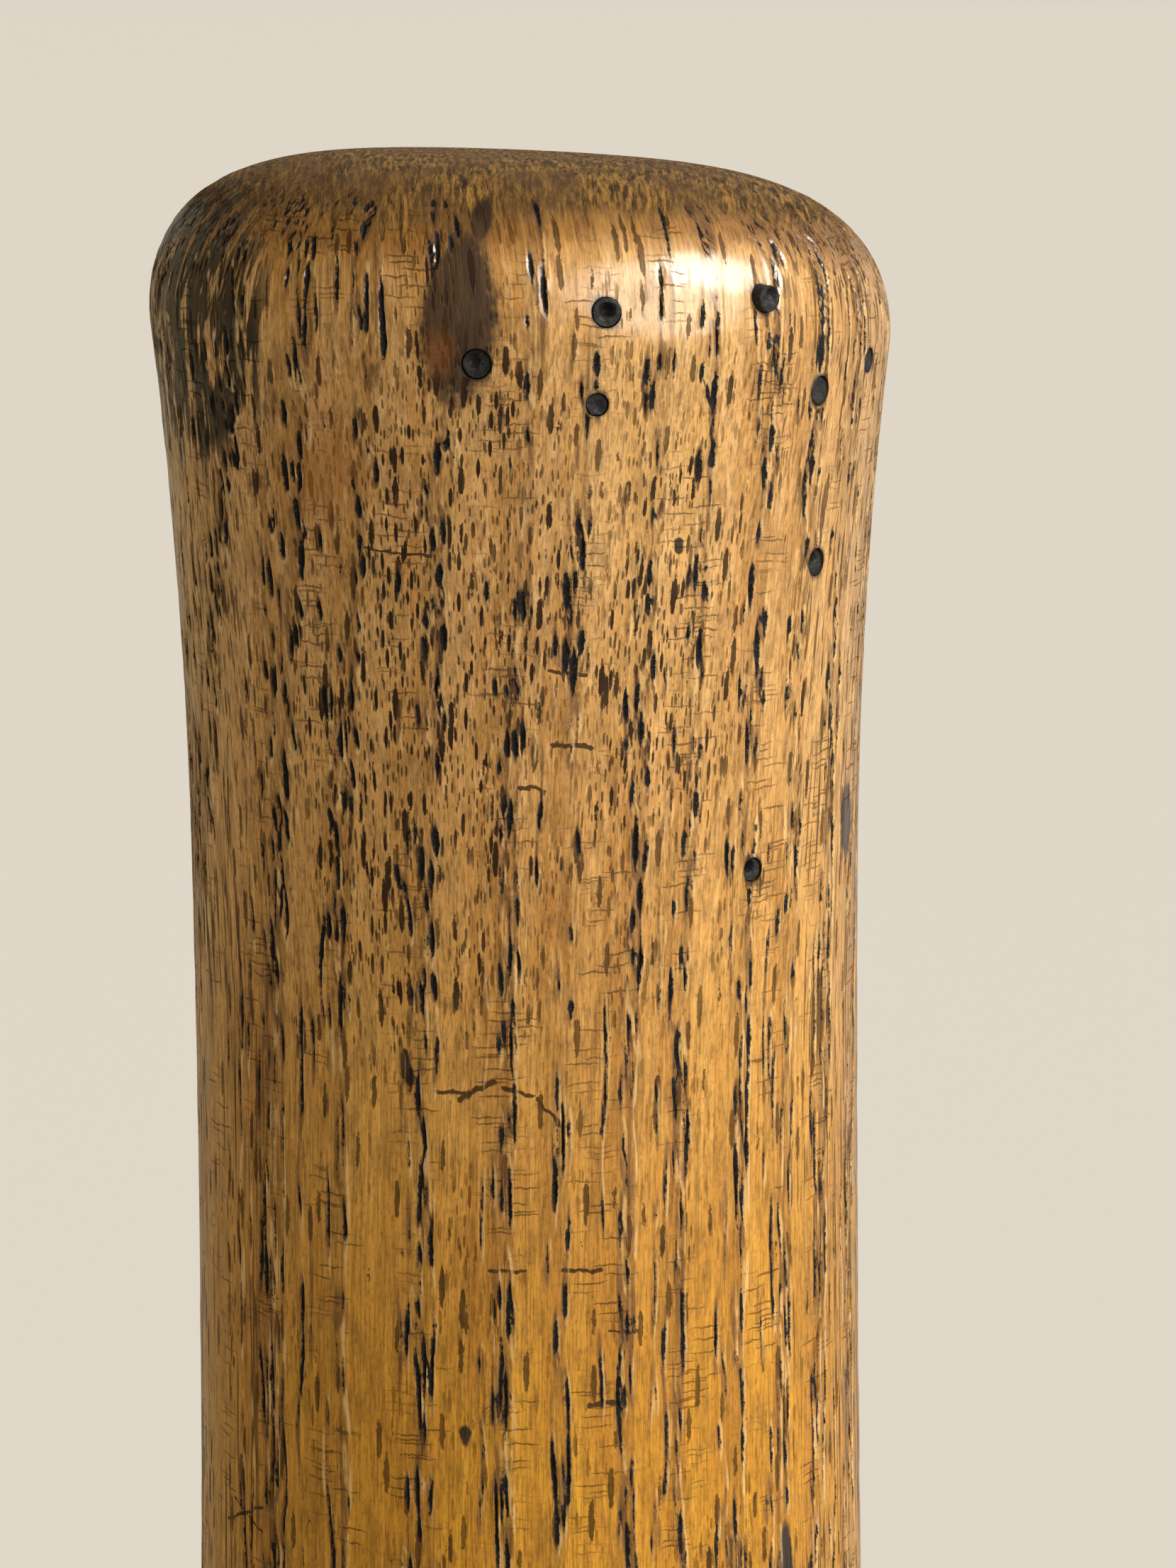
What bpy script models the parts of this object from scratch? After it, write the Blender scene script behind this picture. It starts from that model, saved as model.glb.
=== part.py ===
"""An old turned ash baseball bat with a flared handle end and no separate knob.

The bat stands on the flat of its barrel end: the origin is the middle of that flat, +Z runs up the
turning axis to the handle end, and the face with most of the filled beetle holes looks along -Y.
"""

import math

import bmesh
import bpy

MM = 0.001

# Driving dimensions, in millimetres until they meet MM.
LENGTH = 840.0  # along the turning axis, flat to flat

HANDLE_RADIUS = 15.5  # at the narrowest place, below the flare
FLARE_RADIUS = 16.9  # of the flare's curve, where the rounding of its rim is half done
FLARE_TOP = 7.0  # below the handle end's flat
FLARE_FOOT = 34.0  # below the handle end's flat
FLARE_POWER = 2.2

RIM_DEPTH = 8.2  # how far down the side the rounding of the handle end reaches
RIM_FULLNESS = 3.8  # 2 is a plain ellipse; a larger number is squarer
KNOB_FLAT_RADIUS = 6.0
KNOB_SLANT = math.radians(2.7)  # the handle end is cut out of square, higher at -X
SLANT_REACH = 25.0  # how far down the slant fades out

BARREL_RADIUS = 31.0
TAPER_FOOT = 735.0  # where the taper meets the barrel, below the handle end
TAPER_EASE_IN = 38.0
TAPER_EASE_OUT = 135.0

TIP_DEPTH = 14.0  # length of the rounding at the barrel end
TIP_NARROWING = 0.5  # the barrel draws in this much before the rounding
TIP_FLAT_RADIUS = 20.0

SEGMENTS = 64

# Beetle flight holes, stopped with dark wax: azimuth from -Y towards +X in degrees, distance below
# the handle end, bore, and how far the wax stands back from the surface.
HOLES = (
    (38.6, 5.2, 1.20, 0.15),
    (12.4, 5.8, 1.30, 0.35),
    (-6.4, 8.1, 1.30, 0.15),
    (66.4, 8.3, 1.10, 0.05),
    (51.0, 9.4, 1.30, 0.05),
    (11.0, 9.7, 1.00, 0.10),
    (53.6, 17.3, 1.25, 0.10),
    (40.0, 30.7, 1.10, 0.10),
)
BORE_DEPTH = 4.0
PLUG_GAP = 0.1  # between the wax and the bore's wall
PLUG_FLOOR_GAP = 0.3
PLUG_EDGE = 0.08
PLUG_SIDES = 16


def new_collection(name):
    collection = bpy.data.collections.new(name)
    bpy.context.scene.collection.children.link(collection)
    return collection


def new_object(name, bm, collection):
    mesh = bpy.data.meshes.new(name)
    bm.to_mesh(mesh)
    bm.free()
    obj = bpy.data.objects.new(name, mesh)
    collection.objects.link(obj)
    return obj


def new_material(name, colour, roughness, metallic=0.0):
    material = bpy.data.materials.new(name)
    material.use_nodes = True
    shader = material.node_tree.nodes["Principled BSDF"]
    shader.inputs["Base Color"].default_value = (*colour, 1.0)
    shader.inputs["Roughness"].default_value = roughness
    shader.inputs["Metallic"].default_value = metallic
    return material


def taper_rise(below):
    """Share of the taper's rise at a distance below the handle end: eased in, straight, eased out."""
    run = TAPER_FOOT - FLARE_FOOT
    straight_end = run - TAPER_EASE_OUT
    at = min(max(below - FLARE_FOOT, 0.0), run)
    total = run - (TAPER_EASE_IN + TAPER_EASE_OUT) / 2
    if at < TAPER_EASE_IN:
        covered = at**2 / (2 * TAPER_EASE_IN)
    elif at < straight_end:
        covered = at - TAPER_EASE_IN / 2
    else:
        covered = total - (run - at) ** 2 / (2 * TAPER_EASE_OUT)
    return covered / total


def side_radius(below):
    """Radius of the side, without the rounding of either end."""
    radius = HANDLE_RADIUS + (BARREL_RADIUS - HANDLE_RADIUS) * taper_rise(below)
    if below < FLARE_FOOT:
        share = (FLARE_FOOT - below) / (FLARE_FOOT - FLARE_TOP)
        radius += (FLARE_RADIUS - HANDLE_RADIUS) * share**FLARE_POWER
    if below > TAPER_FOOT:
        share = (below - TAPER_FOOT) / (LENGTH - TIP_DEPTH - TAPER_FOOT)
        radius -= TIP_NARROWING * min(share, 1.0) ** 2
    return radius


def rim_shape(turn):
    """(radius as a share of the side's, depth below the flat) on the handle end's rounding."""
    share = math.sin(turn) ** (2 / RIM_FULLNESS)
    return share, RIM_DEPTH * (1 - math.cos(turn))


def bat_profile():
    """(radius, height) pairs down the bat's side, from the middle of the handle end to the tip."""
    rim_steps = 12
    side_steps = (9.4, 11, 13, 15.5, 18, 21, 24.5, 29, 34, 42, 52, 65)
    long_steps = 16
    tip_steps = 8
    flat_share = KNOB_FLAT_RADIUS / side_radius(0.0)
    first_turn = math.asin(flat_share ** (RIM_FULLNESS / 2))
    flat_depth = rim_shape(first_turn)[1]
    outline = [(0.0, LENGTH)]
    for step in range(rim_steps + 1):
        share, depth = rim_shape(
            first_turn + (math.pi / 2 - first_turn) * step / rim_steps
        )
        below = depth - flat_depth
        outline.append((share * side_radius(below), LENGTH - below))
    outline += [(side_radius(below), LENGTH - below) for below in side_steps]
    tip_start = LENGTH - TIP_DEPTH
    for step in range(1, long_steps + 1):
        below = side_steps[-1] + (tip_start - side_steps[-1]) * step / long_steps
        outline.append((side_radius(below), LENGTH - below))
    tip_radius = side_radius(tip_start)
    for step in range(1, tip_steps + 1):
        turn = math.pi / 2 * step / tip_steps
        radius = TIP_FLAT_RADIUS + (tip_radius - TIP_FLAT_RADIUS) * math.cos(turn)
        outline.append((radius, TIP_DEPTH * (1 - math.sin(turn))))
    outline.append((0.0, 0.0))
    return outline


def slant_drop(x, height):
    """How far the slanted cut lowers a point at x, fading out below the handle end."""
    share = min(max(1 - (LENGTH - height) / SLANT_REACH, 0.0), 1.0)
    return math.tan(KNOB_SLANT) * x * share * share * (3 - 2 * share)


def surface_height(azimuth, below):
    """Height of the place on the side that lies this far below the flat before the slant."""
    x = side_radius(below) * math.sin(azimuth)
    return LENGTH - below - slant_drop(x, LENGTH - below)


def turned_billet(collection):
    """The bat's body: its profile turned about the axis, then leaned to the slanted cut."""
    bm = bmesh.new()
    points = [
        bm.verts.new((radius * MM, 0, height * MM)) for radius, height in bat_profile()
    ]
    for upper, lower in zip(points, points[1:]):
        bm.edges.new((upper, lower))
    profile = new_object("bat_profile", bm, collection)
    turn = profile.modifiers.new("turn", "SCREW")
    turn.axis = "Z"
    turn.angle = math.tau
    turn.steps = SEGMENTS
    turn.render_steps = SEGMENTS
    turn.use_merge_vertices = True
    turn.merge_threshold = 0.00001
    graph = bpy.context.evaluated_depsgraph_get()
    mesh = bpy.data.meshes.new_from_object(profile.evaluated_get(graph))
    mesh.name = "bat_body"
    bpy.data.objects.remove(profile)
    for vertex in mesh.vertices:
        vertex.co.z -= slant_drop(vertex.co.x / MM, vertex.co.z / MM) * MM
    body = bpy.data.objects.new("bat_body", mesh)
    collection.objects.link(body)
    return body


def round_pin(name, diameter, length, collection, edge=0.0):
    """A short round pin along +Z from its own origin, with an eased edge at the outer end."""
    bm = bmesh.new()
    bmesh.ops.create_cone(
        bm,
        cap_ends=True,
        segments=PLUG_SIDES,
        radius1=diameter / 2 * MM,
        radius2=diameter / 2 * MM,
        depth=length * MM,
    )
    bmesh.ops.translate(bm, verts=bm.verts, vec=(0, 0, length / 2 * MM))
    if edge:
        top = [v for v in bm.verts if v.co.z > length / 2 * MM]
        rim = [e for e in bm.edges if all(v in top for v in e.verts)]
        bmesh.ops.bevel(
            bm,
            geom=rim,
            offset=edge * MM,
            offset_type="OFFSET",
            affect="EDGES",
            segments=2,
            profile=0.5,
            material=-1,
        )
    return new_object(name, bm, collection)


def point_outwards(obj, azimuth, below, floor_depth):
    """Stands a pin at that depth inside the bat's side, its far end looking straight out."""
    reach = (side_radius(below) - floor_depth) * MM
    obj.rotation_euler = (math.pi / 2, 0, azimuth)
    obj.location = (
        reach * math.sin(azimuth),
        -reach * math.cos(azimuth),
        surface_height(azimuth, below) * MM,
    )


def stopped_hole(number, hole, body, parts, cutters):
    """Bores one beetle hole into the body and makes the wax plug that stops it."""
    degrees, below, bore, recess = hole
    azimuth = math.radians(degrees)
    past_surface = 2.0
    cutter = round_pin(f"bore_{number}", bore, BORE_DEPTH + past_surface, cutters)
    point_outwards(cutter, azimuth, below, BORE_DEPTH)
    cutter.hide_render = True
    cutter.display_type = "WIRE"
    cut = body.modifiers.new(f"bore_{number}", "BOOLEAN")
    cut.operation = "DIFFERENCE"
    cut.solver = "EXACT"
    cut.object = cutter

    floor_depth = BORE_DEPTH - PLUG_FLOOR_GAP
    plug = round_pin(
        f"wax_plug_{number}",
        bore - 2 * PLUG_GAP,
        floor_depth - recess,
        parts,
        PLUG_EDGE,
    )
    point_outwards(plug, azimuth, below, floor_depth)
    plug.data.shade_smooth()
    plug.data.set_sharp_from_angle(angle=math.radians(35))
    return plug


def main():
    for old in list(bpy.data.objects):
        bpy.data.objects.remove(old)
    parts = new_collection("baseball_bat")
    cutters = new_collection("cutters")
    cutters.hide_render = True

    ash = new_material("shellacked_ash", (0.53, 0.29, 0.09), 0.32)
    wax = new_material("dark_wax", (0.018, 0.018, 0.02), 0.45)

    body = turned_billet(parts)
    body.data.materials.append(ash)
    for number, hole in enumerate(HOLES, start=1):
        plug = stopped_hole(number, hole, body, parts, cutters)
        plug.data.materials.append(wax)
    body.data.shade_smooth()
    body.data.set_sharp_from_angle(angle=math.radians(35))


main()
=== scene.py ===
"""The looks of an old turned ash baseball bat with a flared handle end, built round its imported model."""

import math

import bmesh
import bpy
import numpy as np
from mathutils import Matrix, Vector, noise


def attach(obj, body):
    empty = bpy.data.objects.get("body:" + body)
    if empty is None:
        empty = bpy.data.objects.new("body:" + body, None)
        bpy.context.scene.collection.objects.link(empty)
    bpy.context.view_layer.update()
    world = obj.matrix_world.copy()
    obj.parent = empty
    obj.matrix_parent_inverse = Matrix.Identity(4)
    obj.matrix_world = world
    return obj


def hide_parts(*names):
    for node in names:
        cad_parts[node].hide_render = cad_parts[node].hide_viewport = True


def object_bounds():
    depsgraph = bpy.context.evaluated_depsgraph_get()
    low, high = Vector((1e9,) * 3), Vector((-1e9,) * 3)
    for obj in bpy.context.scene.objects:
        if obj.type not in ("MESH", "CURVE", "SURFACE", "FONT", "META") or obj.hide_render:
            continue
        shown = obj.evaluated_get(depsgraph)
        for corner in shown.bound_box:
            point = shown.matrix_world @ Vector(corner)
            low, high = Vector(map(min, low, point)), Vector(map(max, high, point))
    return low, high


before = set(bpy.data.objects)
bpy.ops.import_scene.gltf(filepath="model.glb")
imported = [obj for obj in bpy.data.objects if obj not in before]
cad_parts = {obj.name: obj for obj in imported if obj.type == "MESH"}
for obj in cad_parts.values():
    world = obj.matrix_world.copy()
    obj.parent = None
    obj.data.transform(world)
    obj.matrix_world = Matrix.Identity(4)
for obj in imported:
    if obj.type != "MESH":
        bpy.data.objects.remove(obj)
cad_low, cad_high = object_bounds()


# ---------------------------------------------------------------------------------------------
# The camera: close in front of the handle end, a little above it and looking slightly down, with a
# long lens. It is rolled a third of a degree, and the bat stands just left of the middle.

EYE_PLACE = (0.0, -0.190, 0.847)
EYE_TURN, EYE_DOWN, EYE_ROLL = -0.887, 10.745, -0.329
eye = bpy.data.cameras.new("eye")
eye.lens = 95.26
eye.sensor_width = 36.0
eye.clip_start = 0.01
eye.clip_end = 500.0
camera = bpy.data.objects.new("camera", eye)
bpy.context.scene.collection.objects.link(camera)
camera.matrix_world = (
    Matrix.Translation(EYE_PLACE)
    @ Matrix.Rotation(math.radians(EYE_TURN), 4, "Z")
    @ Matrix.Rotation(math.radians(90 - EYE_DOWN), 4, "X")
    @ Matrix.Rotation(math.radians(EYE_ROLL), 4, "Z")
)
bpy.context.scene.camera = camera
bpy.context.scene.view_settings.view_transform = "Standard"


# ---------------------------------------------------------------------------------------------
# The billet: one length of white ash, turned between centres to a flared handle end, a straight
# taper and a round-edged barrel, then sawn a little out of square at the handle end and sanded.

MM = 0.001  # the bat is worked out in millimetres, and its meshes are in metres
LENGTH = 840.0
HANDLE_RADIUS = 15.5
FLARE_RADIUS, FLARE_TOP, FLARE_FOOT, FLARE_POWER = 16.9, 7.0, 34.0, 2.2
RIM_DEPTH, RIM_FULLNESS, KNOB_FLAT_RADIUS = 8.2, 3.8, 6.0
KNOB_SLANT, SLANT_REACH = math.radians(2.7), 25.0
BARREL_RADIUS, TAPER_FOOT = 30.99, 735.0
TAPER_EASE_IN, TAPER_EASE_OUT = 38.0, 135.0
TIP_DEPTH, TIP_NARROWING, TIP_FLAT_RADIUS = 14.0, 0.5, 20.0


def side_radius(below):
    """Radius of the side at distances below the handle end, without the rounding of either end."""
    run = TAPER_FOOT - FLARE_FOOT
    total = run - (TAPER_EASE_IN + TAPER_EASE_OUT) / 2
    at = np.clip(below - FLARE_FOOT, 0, run)
    covered = np.where(
        at < TAPER_EASE_IN, at**2 / (2 * TAPER_EASE_IN), at - TAPER_EASE_IN / 2
    )
    easing_out = at > run - TAPER_EASE_OUT
    covered = np.where(
        easing_out, total - (run - at) ** 2 / (2 * TAPER_EASE_OUT), covered
    )
    radius = HANDLE_RADIUS + (BARREL_RADIUS - HANDLE_RADIUS) * covered / total
    flare = np.clip((FLARE_FOOT - below) / (FLARE_FOOT - FLARE_TOP), 0, None)
    radius += (FLARE_RADIUS - HANDLE_RADIUS) * flare**FLARE_POWER
    drawn_in = np.clip((below - TAPER_FOOT) / (LENGTH - TIP_DEPTH - TAPER_FOOT), 0, 1)
    return radius - TIP_NARROWING * drawn_in**2


def slant_drop(x, below):
    """How far the slanted saw cut lowers a point at x."""
    share = np.clip(1 - below / SLANT_REACH, 0, 1)
    return math.tan(KNOB_SLANT) * x * share**2 * (3 - 2 * share)


def handle_end_outline(foot):
    """(radius, below) rows from the middle of the handle end down to foot, closest near the end."""
    first = math.asin((KNOB_FLAT_RADIUS / side_radius(0.0)) ** (RIM_FULLNESS / 2))
    turn = np.linspace(first, math.pi / 2, 46)
    below = RIM_DEPTH * (np.cos(first) - np.cos(turn))
    rim = np.sin(turn) ** (2 / RIM_FULLNESS) * side_radius(below)
    flat = np.linspace(0, rim[0], 11)[:-1]
    side = np.concatenate(
        [
            np.arange(below[-1] + 0.42, 36, 0.42),
            np.arange(36, 68, 0.8),
            np.linspace(68, foot, 9),
        ]
    )
    radii = np.concatenate([flat, rim, side_radius(side)])
    return radii, np.concatenate([flat * 0, below, side])


def turned_length(name, radii, below, arcs):
    """One closed length of the billet, its outline spun through arcs of (degrees, steps)."""
    bm = bmesh.new()
    start = math.radians(-arcs[0][0] / 2)
    row = [
        bm.verts.new((r * math.sin(start), -r * math.cos(start), LENGTH - b))
        for r, b in zip(radii, below)
    ]
    geom = row + [bm.edges.new(pair) for pair in zip(row, row[1:])]
    for degrees, steps in arcs:
        swept = bmesh.ops.spin(
            bm,
            geom=geom,
            cent=(0, 0, 0),
            axis=(0, 0, 1),
            dvec=(0, 0, 0),
            angle=math.radians(degrees),
            steps=steps,
            use_merge=False,
        )
        geom = swept["geom_last"]
    bmesh.ops.remove_doubles(bm, verts=bm.verts, dist=0.0005)
    bmesh.ops.holes_fill(bm, edges=[e for e in bm.edges if e.is_boundary], sides=0)
    bmesh.ops.recalc_face_normals(bm, faces=bm.faces)
    for vertex in bm.verts:
        vertex.co.z -= slant_drop(vertex.co.x, LENGTH - vertex.co.z)
    mesh = bpy.data.meshes.new(name)
    bm.to_mesh(mesh)
    bm.free()
    piece = bpy.data.objects.new(name, mesh)
    bpy.context.scene.collection.objects.link(piece)
    return piece


# degrees and steps: the handle end is turned finely in front, where its vessels are cut
LENGTHS = 8
FRONT_ARC = (200.0, 460)
BACK_ARC = (160.0, 110)
FULL_TURN = (360.0, 256)
cuts = np.linspace(0, LENGTH, LENGTHS + 1)
billet = [
    turned_length("bat_length_1", *handle_end_outline(cuts[1]), (FRONT_ARC, BACK_ARC))
]
for number in range(1, LENGTHS):
    rows = np.linspace(cuts[number], cuts[number + 1], 25)
    radii = side_radius(rows)
    if number == LENGTHS - 1:
        rows = np.linspace(cuts[number], LENGTH - TIP_DEPTH, 22)
        turn = np.linspace(0, math.pi / 2, 25)[1:]
        tip_radius = float(side_radius(LENGTH - TIP_DEPTH))
        rounding = TIP_FLAT_RADIUS + (tip_radius - TIP_FLAT_RADIUS) * np.cos(turn)
        flat = np.linspace(TIP_FLAT_RADIUS, 0, 14)[1:]
        radii = np.concatenate([side_radius(rows), rounding, flat])
        rows = np.concatenate(
            [rows, LENGTH - TIP_DEPTH * (1 - np.sin(turn)), flat * 0 + LENGTH]
        )
    billet.append(turned_length(f"bat_length_{number + 1}", radii, rows, (FULL_TURN,)))


# ---------------------------------------------------------------------------------------------
# The beetle holes: eight round flight holes bored by powderpost beetles near the handle end, each
# about 1.2 mm across and square to the surface.

# azimuth from the front towards +X, distance below the handle end, bore, how far its wax is sunk
HOLES = (
    (38.6, 5.2, 1.20, 0.15),
    (12.4, 5.8, 1.30, 0.35),
    (-6.4, 8.1, 1.30, 0.15),
    (66.4, 8.3, 1.10, 0.05),
    (51.0, 9.4, 1.30, 0.05),
    (11.0, 9.7, 1.00, 0.10),
    (53.6, 17.3, 1.25, 0.10),
    (40.0, 30.7, 1.10, 0.10),
)
BORE_DEPTH = 3.0
BORE_SIDES = 40
BORE_PROUD = 1.0  # how far the cutter stands out of the wood


def hole_axis(degrees, below):
    """(place on the surface, outward direction) of a hole."""
    azimuth = math.radians(degrees)
    out = np.array((math.sin(azimuth), -math.cos(azimuth), 0.0))
    place = out * float(side_radius(below))
    place[2] = LENGTH - below - float(slant_drop(place[0], below))
    return place, out


bm = bmesh.new()
for degrees, below, bore, sunk in HOLES:
    place, out = hole_axis(degrees, below)
    middle = place - out * (BORE_DEPTH - BORE_PROUD) / 2
    bmesh.ops.create_cone(
        bm,
        cap_ends=True,
        segments=BORE_SIDES,
        radius1=bore / 2,
        radius2=bore / 2,
        depth=BORE_DEPTH + BORE_PROUD,
        matrix=Matrix.Translation(middle)
        @ Matrix.Rotation(math.radians(degrees), 4, "Z")
        @ Matrix.Rotation(math.pi / 2, 4, "X"),
    )
bore_mesh = bpy.data.meshes.new("bores")
bm.to_mesh(bore_mesh)
bm.free()
bores = bpy.data.objects.new("bores", bore_mesh)
bpy.context.scene.collection.objects.link(bores)
boring = billet[0].modifiers.new("bores", "BOOLEAN")
boring.operation = "DIFFERENCE"
boring.solver = "EXACT"
boring.object = bores
graph = bpy.context.evaluated_depsgraph_get()
bored = bpy.data.meshes.new_from_object(billet[0].evaluated_get(graph))
billet[0].modifiers.clear()
billet[0].data = bored
bpy.data.objects.remove(bores)


# ---------------------------------------------------------------------------------------------
# The grain: growth rings crossing the handle side to side, each starting with a row of open
# vessels. The turned surface cuts them, so they show as short slots where it flares and as long
# lines where it runs straight.

RING_NORMAL = math.radians(-77)
RING_WIDTHS = (2.6, 2.3, 2.3, 2.6, 3.0, 2.4, 3.2, 2.3, 3.4, 3.2, 2.3, 2.6)
RING_START = -16.9  # where the first of those rings begins, on the bat's right
grain_random = np.random.default_rng(11)
outer_left = RING_START + sum(RING_WIDTHS)
outer_rings = grain_random.uniform(2.2, 3.2, 10)
ring_edges = np.concatenate(
    [
        RING_START - np.cumsum(grain_random.uniform(2.2, 3.2, 10))[::-1],
        RING_START + np.concatenate([[0], np.cumsum(RING_WIDTHS)]),
        outer_left + np.cumsum(outer_rings),
    ]
)


def ring_drift(below):
    """How far the rings lean across the bat, going down it."""
    near = 2.0 * np.sin(np.clip(below, 0, 60) / 60 * math.pi / 2)
    far = 1.6 * (1 - np.cos(np.clip(below - 60, 0, None) / 95))
    return near + far - 1.414


def grain_dip(below):
    """How far the fibres dive into the wood towards the handle end."""
    near = np.clip(38 - below, 0, None)
    return 0.085 * near - 0.0006 * near**2 + 1.2 * np.sin(below / 130)


def to_grain(points, below):
    """Places in the wood's own space: across the rings, along them, and up the fibres."""
    across = points[:, 0] * math.sin(RING_NORMAL) - points[:, 1] * math.cos(RING_NORMAL)
    along = points[:, 0] * math.cos(RING_NORMAL) + points[:, 1] * math.sin(RING_NORMAL)
    from_axis = np.maximum(np.hypot(points[:, 0], points[:, 1]), 1)
    along = along * np.clip(side_radius(below) / from_axis, 1, 1.6) ** 0.9
    return np.stack([across - ring_drift(below), along + grain_dip(below), -below], 1)


def smooth_step(value, low, high):
    """0 at low and 1 at high, eased between."""
    share = np.clip((value - low) / (high - low), 0, 1)
    return share**2 * (3 - 2 * share)


# each row of vessels in a ring: how far into the ring, chance of a vessel, and its radius from..to
VESSEL_ROWS = (
    (0.08, 0.95, 0.31, 0.100, 0.150),
    (0.38, 0.92, 0.32, 0.095, 0.148),
    (0.70, 0.85, 0.36, 0.090, 0.145),
    (1.10, 0.60, 0.46, 0.075, 0.125),
    (1.60, 0.45, 0.56, 0.070, 0.115),
)
VESSEL_WALL = 0.08  # wood left standing between two neighbouring vessels
GROOVE_DEPTH, LIP_HEIGHT = 0.16, 0.028  # how deep a vessel is cut, and how far its edges stand up


def vessel_cut(grain):
    """How deep each point is inside a vessel, negative outside, and how far right of its middle."""
    best = np.full(len(grain), -1.0)
    second = best.copy()
    rightwards = np.zeros(len(grain))
    order = np.argsort(grain[:, 0])
    sorted_grain = grain[order]
    for edge in ring_edges:
        for inward, chance, spacing, thin, thick in VESSEL_ROWS:
            for along in np.arange(-19, 19, spacing):
                across = edge + inward + grain_random.normal(0, 0.12)
                middle = along + grain_random.uniform(-0.18, 0.18)
                radius = grain_random.uniform(thin, thick)
                phase = grain_random.uniform(0, math.tau, 5)
                waves = grain_random.uniform(5, 14, 4)
                open_every = grain_random.uniform(2.7, 5.0)
                present = grain_random.random() < chance
                if not present or not 11 < math.hypot(across, middle) < 20:
                    continue
                first, last = np.searchsorted(sorted_grain[:, 0], (across - 0.5, across + 0.5))
                near = sorted_grain[first:last]
                keep = np.abs(near[:, 1] - middle) < 0.6
                if not keep.any():
                    continue
                near = near[keep]
                rows = order[first:last][keep]
                sway = [np.sin(math.tau * near[:, 2] / w + p) for w, p in zip(waves, phase)]
                aside = near[:, 0] - across - 0.06 * sway[0] - 0.04 * sway[1]
                deeper = near[:, 1] - middle - 0.14 * sway[2] - 0.09 * sway[3]
                pinch = 0.95 * smooth_step(-near[:, 2], 5, 10)
                pinch = pinch - 0.78 * smooth_step(-near[:, 2], 26, 42)
                gape = 0.62 + 0.80 * np.sin(math.tau * near[:, 2] / open_every + phase[4])
                swell = radius * (1 - pinch + pinch * gape)
                inside = swell - np.hypot(aside, deeper)
                nearer = inside > best[rows]
                second[rows] = np.maximum(second[rows], np.minimum(inside, best[rows]))
                best[rows[nearer]] = inside[nearer]
                rightwards[rows[nearer]] = -aside[nearer]
    return np.minimum(best, best - second - VESSEL_WALL), rightwards


def add_attribute(mesh, name, values, kind="FLOAT"):
    """Writes one value, or one place, to each point of the mesh."""
    attribute = mesh.attributes.new(name, kind, "POINT")
    target = "value" if kind == "FLOAT" else "vector"
    attribute.data.foreach_set(target, np.ascontiguousarray(values, np.float32).ravel())


# down to the first of these the vessels are cut into the wood, and past the second they are drawn
CUT_TO, DRAWN_FROM = 66, 92


def patch(azimuth, below, centre, size, lean=0.0):
    """1 in the middle of an oval patch on the side, 0.3 at its edge, 0 all round it."""
    s = np.radians(azimuth - centre[0]) * HANDLE_RADIUS
    u = below - centre[1]
    s = s - lean * u
    return np.clip(1 - 0.7 * np.hypot(s / size[0], u / size[1]), 0, 1)


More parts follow.
